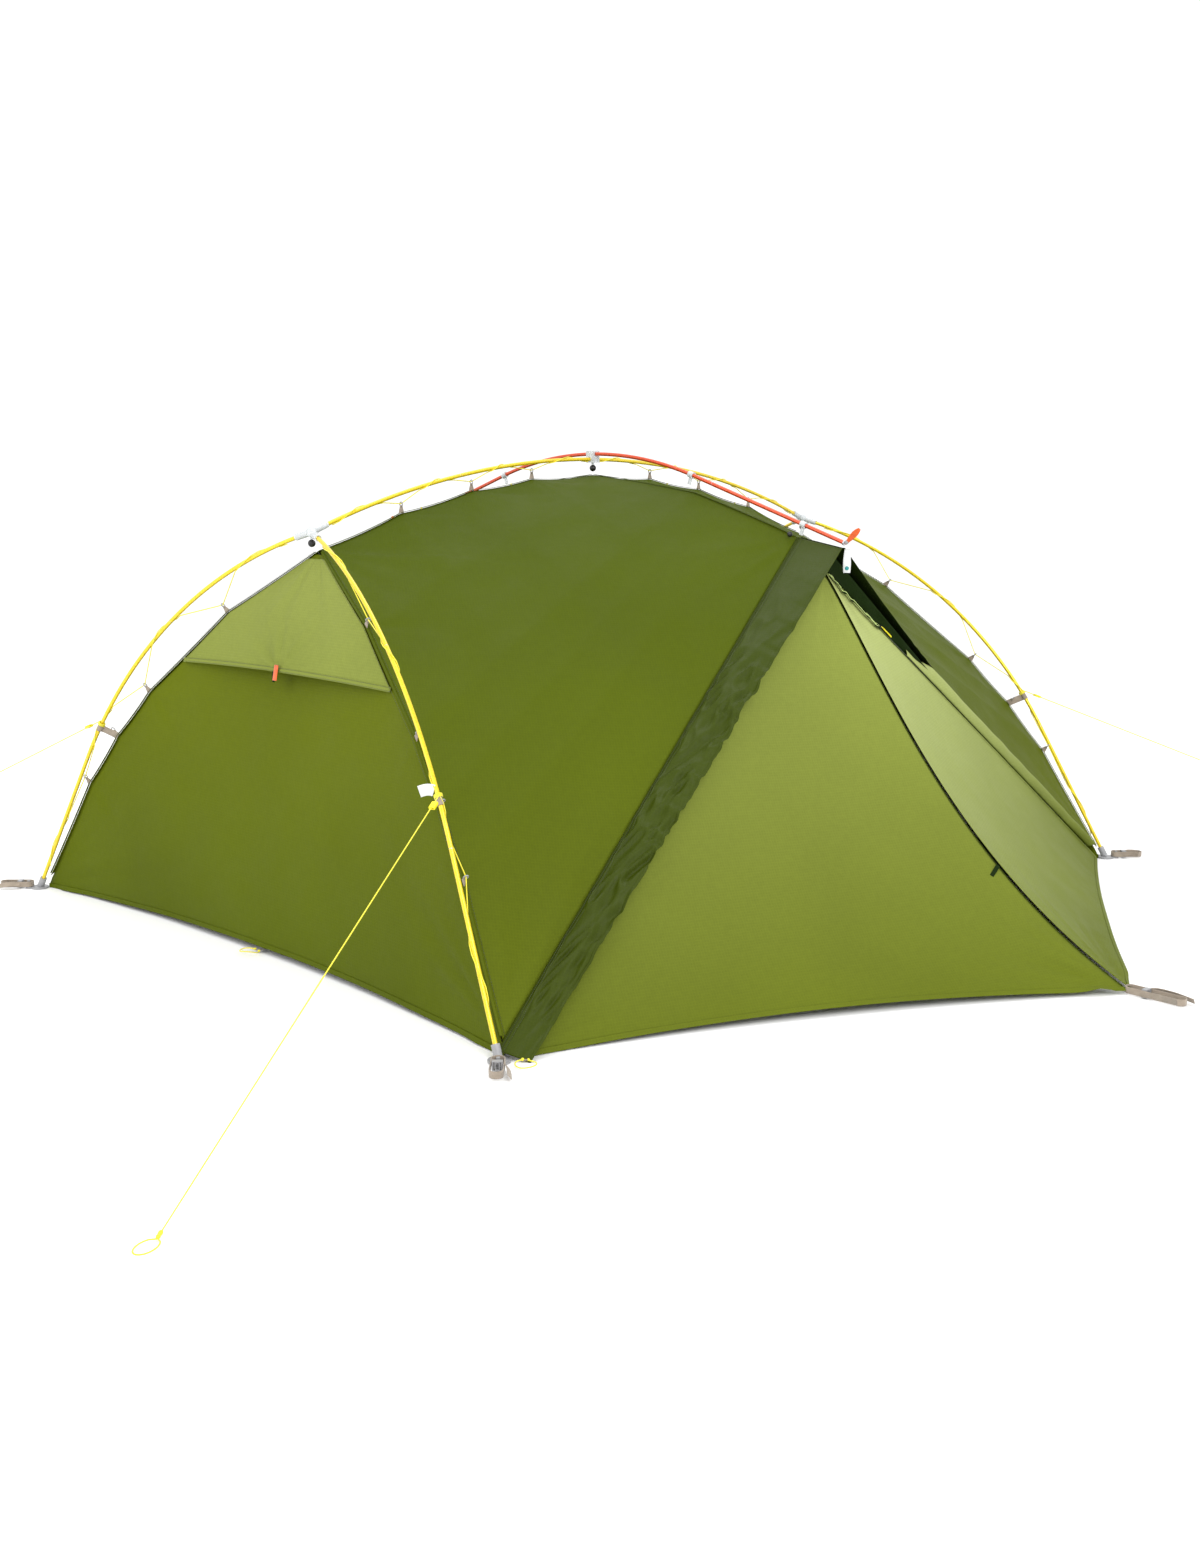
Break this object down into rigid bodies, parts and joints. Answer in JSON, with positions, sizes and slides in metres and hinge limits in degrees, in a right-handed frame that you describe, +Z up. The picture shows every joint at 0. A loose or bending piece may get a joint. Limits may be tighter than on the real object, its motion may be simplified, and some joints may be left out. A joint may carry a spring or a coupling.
{
  "type": "frame tent",
  "caption": "Free-standing hub-pole tent: bent outer poles carry a laced-on flysheet with two zipped vestibules, over a hung inner tent with a raised floor.",
  "frame": {"origin": "middle of the footprint at ground level", "axes": "+X along the entrance side to the right, -Y to the front entrance, +Z up"},
  "size_m": [4.3617, 3.6557, 1.18],
  "materials": {
    "yellow_pole": "anodised yellow",
    "orange_pole": "anodised orange",
    "metal": "plain metal",
    "clear_plastic": "clear",
    "black_plastic": "satin",
    "grey_plastic": "satin",
    "webbing": "woven",
    "orange_webbing": "woven",
    "white_webbing": "woven",
    "yellow_cord": "braided",
    "fly_roof": "coated weave",
    "fly_end": "coated weave",
    "fly_vestibule": "coated weave",
    "dark_cloth": "coated weave",
    "inner_cloth": "light weave",
    "yellow_plastic": "satin",
    "elastic": "matte"
  },
  "bodies": {
    "tent": {"leg_front_left_lower": "yellow_pole", "leg_front_left_upper": "yellow_pole", "leg_front_right_lower": "yellow_pole", "leg_front_right_upper": "yellow_pole", "leg_rear_left_lower": "yellow_pole", "leg_rear_left_upper": "yellow_pole", "leg_rear_right_lower": "yellow_pole", "leg_rear_right_upper": "yellow_pole", "ridge_pole_left": "yellow_pole", "ridge_pole_right": "yellow_pole", "cross_pole_front": "orange_pole", "cross_pole_rear": "orange_pole", "pole_ferrules": "metal", "shock_cords": "elastic", "pole_tips": "metal", "hub_left": "clear_plastic", "hub_right": "clear_plastic", "centre_clip": "clear_plastic", "cross_pole_clips": "clear_plastic", "canopy_balls": "black_plastic", "corner_sockets": "grey_plastic", "corner_straps": "webbing", "ladder_locks": "grey_plastic", "stake_straps": "webbing", "roof_front_left": "fly_roof", "roof_front_right": "fly_roof", "roof_rear_left": "fly_roof", "roof_rear_right": "fly_roof", "end_wall_left": "fly_end", "end_wall_right": "fly_end", "vent_hoods": "fly_end", "vestibule_front_main": "fly_vestibule", "vestibule_rear_main": "fly_vestibule", "storm_flaps": "fly_roof", "zip_strips": "dark_cloth", "hang_tabs": "webbing", "tab_rings": "grey_plastic", "lacing_cords": "yellow_cord", "hem_loops": "yellow_cord", "pole_end_loops": "orange_webbing", "apex_straps": "white_webbing", "guy_line_front_left": "yellow_cord", "guy_line_rear_left": "yellow_cord", "guy_line_front_right": "yellow_cord", "inner_floor": "dark_cloth", "inner_end_walls": "inner_cloth", "inner_wall_front": "inner_cloth", "inner_wall_rear": "inner_cloth", "inner_door_front": "inner_cloth", "inner_door_rear": "inner_cloth", "inner_hangers": "yellow_cord"},
    "front_door": {"vestibule_front_door": "fly_vestibule"},
    "rear_door": {"vestibule_rear_door": "fly_vestibule"},
    "front_slider": {"zip_slider_front": "black_plastic"},
    "rear_slider": {"zip_slider_rear": "black_plastic"},
    "front_pull": {"zip_pull_front": "yellow_cord"},
    "rear_pull": {"zip_pull_rear": "yellow_cord"},
    "front_left_adjuster": {"adjuster_front_left": "yellow_plastic"},
    "rear_left_adjuster": {"adjuster_rear_left": "yellow_plastic"},
    "front_right_adjuster": {"adjuster_front_right": "yellow_plastic"}
  },
  "joints": [
    {"name": "front_door_hinge", "type": "hinge", "parent": "tent", "child": "front_door", "pos_m": [0, -0.79, 0.885], "axis": [0.042, -0.6808, -0.7312], "range_deg": [0, 100]},
    {"name": "front_zip_slide", "type": "slide", "parent": "tent", "child": "front_slider", "axis": [0.795, -0.1054, -0.5973], "range_m": [-0.2, 1.1]},
    {"name": "front_pull_swing", "type": "hinge", "parent": "front_slider", "child": "front_pull", "pos_m": [0.20115, -0.82154, 0.74136], "axis": [-0.4618, -0.7438, -0.4833], "range_deg": [0, 150]},
    {"name": "rear_door_hinge", "type": "hinge", "parent": "tent", "child": "rear_door", "pos_m": [0, 0.79, 0.885], "axis": [-0.042, 0.6808, -0.7312], "range_deg": [0, 100]},
    {"name": "rear_zip_slide", "type": "slide", "parent": "tent", "child": "rear_slider", "axis": [-0.795, 0.1054, -0.5973], "range_m": [-0.2, 1.1]},
    {"name": "rear_pull_swing", "type": "hinge", "parent": "rear_slider", "child": "rear_pull", "pos_m": [-0.20115, 0.82154, 0.74136], "axis": [0.4618, 0.7438, -0.4833], "range_deg": [0, 150]},
    {"name": "front_left_adjuster_slide", "type": "slide", "parent": "tent", "child": "front_left_adjuster", "axis": [-0.8141, -0.3999, -0.4211], "range_m": [-0.012, 0.8]},
    {"name": "rear_left_adjuster_slide", "type": "slide", "parent": "tent", "child": "rear_left_adjuster", "axis": [-0.1499, 0.9158, -0.3726], "range_m": [-0.012, 0.8]},
    {"name": "front_right_adjuster_slide", "type": "slide", "parent": "tent", "child": "front_right_adjuster", "axis": [0.8129, -0.4605, -0.3566], "range_m": [-0.012, 0.8]}
  ]
}
